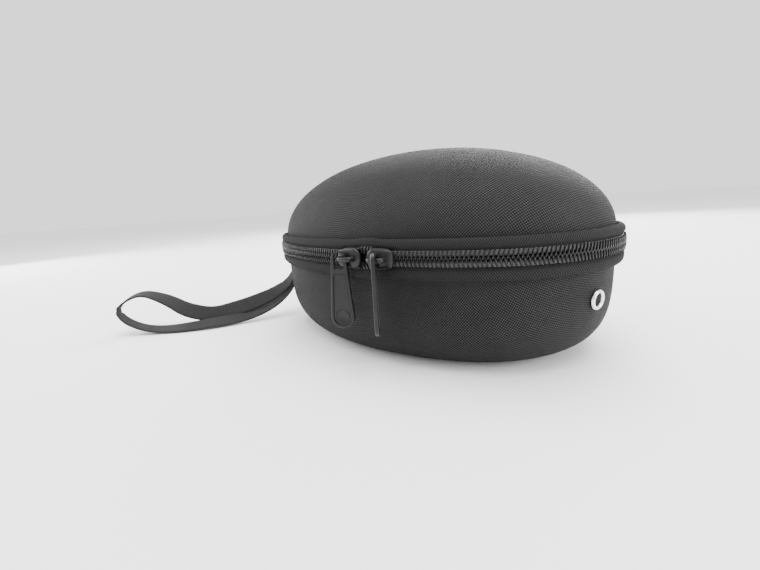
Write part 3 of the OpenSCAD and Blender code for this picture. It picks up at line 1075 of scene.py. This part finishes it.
left_pivot = (LEFT @ Matrix.Translation((-LEG_X, LEFT_TAB_Y, 0))
              @ Matrix.Rotation(LEFT_TAB_TURN, 4, "Z"))
right_pivot = (on_chain(RIGHT_A) @ Matrix.Translation((0, CROWN_Y, 0))
               @ Matrix.Rotation(RIGHT_TAB_TURN, 4, "Z"))
for name, matrix in (("pull_tab_left", left_pivot), ("pull_tab_right", right_pivot)):
    pull = tab(name + "_body", matrix)
    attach(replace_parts(pull, name), name)


# ---------------------------------------------------------------- eyelet
def turned(name, material, profile, sides=96):
    """A closed section turned about the eyelet's axis."""
    across = AXIS.cross(Vector((0, 0, 1))).normalized()
    up = across.cross(AXIS)
    b = Build()
    rings = []
    for i in range(sides):
        t = 2 * math.pi * i / sides
        way = across * math.cos(t) + up * math.sin(t)
        rings.append(b.ring([EYELET + way * r + AXIS * h for r, h in profile]))
    b.wrap(rings)
    return soften(b.make(name, material), 40)


# Profiles are radius and height over the cover's face.
barrel_end = -(DEPTH_LINING + LINING_T) - 0.95 - 0.5 - 0.3
outside = HOLE_R + 0.34
lip = spline([(HOLE_R, 0.0), (HOLE_R + 0.03, 0.7), (2.78, 1.15), (3.2, 1.3), (3.6, 1.18),
              (3.9, 0.8), (4.0, 0.4), (3.93, 0.12)], 4)
barrel = turned("eyelet_ring", CHROME,
                lip + [(outside, 0.12), (outside, barrel_end), (HOLE_R, barrel_end)])
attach(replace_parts(barrel, "eyelet_barrel"), "base")
seat = barrel_end + 0.3
washer_profile = spline([(2.92, seat + 0.5), (4.2, seat + 0.5), (4.55, seat + 0.42),
                         (4.62, seat + 0.22), (4.4, seat + 0.02), (3.6, seat - 0.1),
                         (3.1, seat - 0.06), (2.92, seat + 0.06)], 3)
washer = turned("eyelet_backing", CHROME, washer_profile)
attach(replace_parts(washer, "eyelet_washer"), "base")


# ---------------------------------------------------------------- wrist strap
def cad_sections(node, pick):
    """The four-cornered sections of a lofted CAD band, in order from the end whose middle
    pick() puts lowest: middle, half width and half thickness of each."""
    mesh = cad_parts[node].data
    key = {}
    spots = []
    for v in mesh.vertices:
        k = tuple(round(c * 1e6) for c in v.co)
        if k not in key:
            key[k] = len(spots)
            spots.append(Vector(v.co) / MM)
    index = [key[tuple(round(c * 1e6) for c in v.co)] for v in mesh.vertices]
    links = [set() for _ in spots]
    turn = [0.0] * len(spots)
    faces = []
    for poly in mesh.polygons:
        ids = [index[i] for i in poly.vertices]
        faces.append(ids)
        for n, i in enumerate(ids):
            ahead, behind = ids[(n + 1) % len(ids)], ids[n - 1]
            links[i].update((ahead, behind))
            turn[i] += (spots[ahead] - spots[i]).angle(spots[behind] - spots[i], 0.0)
    # The faces round a point take up a full turn, but three quarters at an end's corner.
    corners = {i for i, t in enumerate(turn) if t < math.radians(315)}
    caps = []
    for ids in faces:
        if set(ids) <= corners:
            home = next((c for c in caps if c & set(ids)), None)
            if home is None:
                caps.append(set(ids))
            else:
                home |= set(ids)
    start = min(caps, key=lambda c: pick(sum((spots[i] for i in c), Vector()) / len(c)))
    seen = set(start)
    levels = [sorted(start)]
    while True:
        ahead = {j for i in levels[-1] for j in links[i]} - seen
        if not ahead:
            break
        seen |= ahead
        levels.append(sorted(ahead))
    sections = []
    last = None
    for ids in levels:
        pts = [spots[i] for i in ids]
        if len(pts) != 4:
            raise ValueError("section of %s has %d corners" % (node, len(pts)))
        middle = sum(pts, Vector()) / 4
        offs = [p - middle for p in pts]
        if last is None:
            a = offs[0]
            mate = min(offs[1:], key=lambda o: (o - a).length)
        else:
            a = min(offs, key=lambda o: (o - last[0] - last[1]).length)
            others = (o for o in offs if o is not a)
            mate = min(others, key=lambda o: (o - last[0] + last[1]).length)
        last = ((a + mate) / 2, (a - mate) / 2)
        sections.append((middle, *last))
    return sections


def densify(sections, step):
    """The sections of a band at even steps along it, with the distance run."""
    rows = [(*m, *w, *d) for m, w, d in sections]
    fine = spline(rows, 10)
    run = lengths([r[:3] for r in fine])
    count = int(run[-1] / step)
    out = []
    j = 0
    for i in range(count + 1):
        s = run[-1] * i / count
        while j < len(run) - 2 and run[j + 1] < s:
            j += 1
        f = (s - run[j]) / max(run[j + 1] - run[j], 1e-9)
        r = [a + (c - a) * f for a, c in zip(fine[j], fine[j + 1])]
        out.append((Vector(r[0:3]), Vector(r[3:6]), Vector(r[6:9]), s))
    return out


def webbing(name, sections, rib_pitch, plies):
    """A woven band with cross ribs, a firm selvedge and a little waver."""
    b = Build()
    rings = []
    half_n = 10
    rib_high = 0.075
    for middle, wide, deep, s in densify(sections, step=0.25):
        deep_u = deep.normalized()
        half_t = deep.length
        row = []
        rib = rib_high * abs(math.sin(math.pi * s / rib_pitch))
        waver = 1 + 0.012 * noise(Vector((s / 9.0, 2.0, 0.0)))
        for face in (1, -1):
            for i in range(half_n + 1):
                f = (1 - 2 * i / half_n) * face
                edge = (1 - abs(f) ** 8) ** 0.5
                t = half_t * (0.55 + 0.45 * edge) - 0.07 + rib * (1 if abs(f) < 0.97 else 0.3)
                if plies > 1 and abs(f) > 0.9:
                    t *= 0.92
                p = middle + wide * (f * waver) + deep_u * (t * face)
                row.append(b.add(p, (s, f * STRAP_W / 2)))
        rings.append(row)
    b.loft(rings)
    return b.make(name, WEB)


strap_sections = cad_sections("wrist_strap", lambda p: p.z)
root_sections = cad_sections("strap_root", lambda p: -p.x)
strap_band = webbing("strap_band", strap_sections, STRAP_RIB, 1)
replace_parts(strap_band, "wrist_strap")
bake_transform(strap_band)
root_band = webbing("strap_root_band", root_sections, STRAP_RIB, 2)
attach(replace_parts(root_band, "strap_root"), "base")

# ---------------------------------------------------------------- floor, light and camera
FLOOR = 6.0
floor_corners = [(-FLOOR, -FLOOR, 0), (FLOOR, -FLOOR, 0), (FLOOR, FLOOR, 0), (-FLOOR, FLOOR, 0)]
floor_mesh = bpy.data.meshes.new("floor")
floor_mesh.from_pydata(floor_corners, [], [(0, 1, 2, 3)])
floor = bpy.data.objects.new("floor", floor_mesh)
bpy.context.scene.collection.objects.link(floor)
pale = new_material("pale_floor", (0.93, 0.93, 0.93), rough=0.9, spec=0.1)[0]
floor_mesh.materials.append(pale)

WORLD_LIGHT = 1.6
world = bpy.data.worlds.new("studio")
bpy.context.scene.world = world
world.use_nodes = True
sky = world.node_tree.nodes["Background"]
sky.inputs["Color"].default_value = (1, 1, 1, 1)
sky.inputs["Strength"].default_value = WORLD_LIGHT


# Places and sizes of the lamps and the camera are in metres.
def softbox(name, place, aim, size, power):
    data = bpy.data.lights.new(name, "AREA")
    data.shape = "RECTANGLE"
    data.size = size[0]
    data.size_y = size[1]
    data.energy = power
    obj = bpy.data.objects.new(name, data)
    obj.location = place
    obj.rotation_euler = (Vector(aim) - Vector(place)).to_track_quat("-Z", "Y").to_euler()
    bpy.context.scene.collection.objects.link(obj)
    return obj


case_mid = (0, 0, SEAM_H * MM)
softbox("top_box", place=(0.05, 0.05, 0.9), aim=case_mid, size=(0.9, 0.9), power=16)
softbox("back_box", place=(-0.35, 0.8, 0.45), aim=case_mid, size=(0.9, 0.5), power=14)
softbox("right_box", place=(0.85, 0.25, 0.25), aim=case_mid, size=(0.4, 0.6), power=9)
softbox("left_box", place=(-0.75, -0.25, 0.3), aim=case_mid, size=(0.4, 0.5), power=6)

# The camera fitted to the photo's outline.
AZ = math.radians(46.6)
EL = math.radians(11.55)
ROLL = math.radians(-3.74)
SENSOR = 36.0
LENS = 18.92
CAMERA_AT = Vector((0.13889, -0.16685, 0.06739))
back = Vector((math.sin(AZ) * math.cos(EL), -math.cos(AZ) * math.cos(EL), math.sin(EL)))
level_right = Vector((math.cos(AZ), math.sin(AZ), 0))
level_up = back.cross(level_right)
right = level_right * math.cos(ROLL) + level_up * math.sin(ROLL)
up = back.cross(right)
camera_data = bpy.data.cameras.new("camera")
camera_data.sensor_width = SENSOR
camera_data.lens = LENS
camera_data.clip_start = 0.01
camera = bpy.data.objects.new("camera", camera_data)
turn = Matrix((right, up, back)).transposed().to_4x4()
camera.matrix_world = Matrix.Translation(CAMERA_AT) @ turn
bpy.context.scene.collection.objects.link(camera)
bpy.context.scene.camera = camera
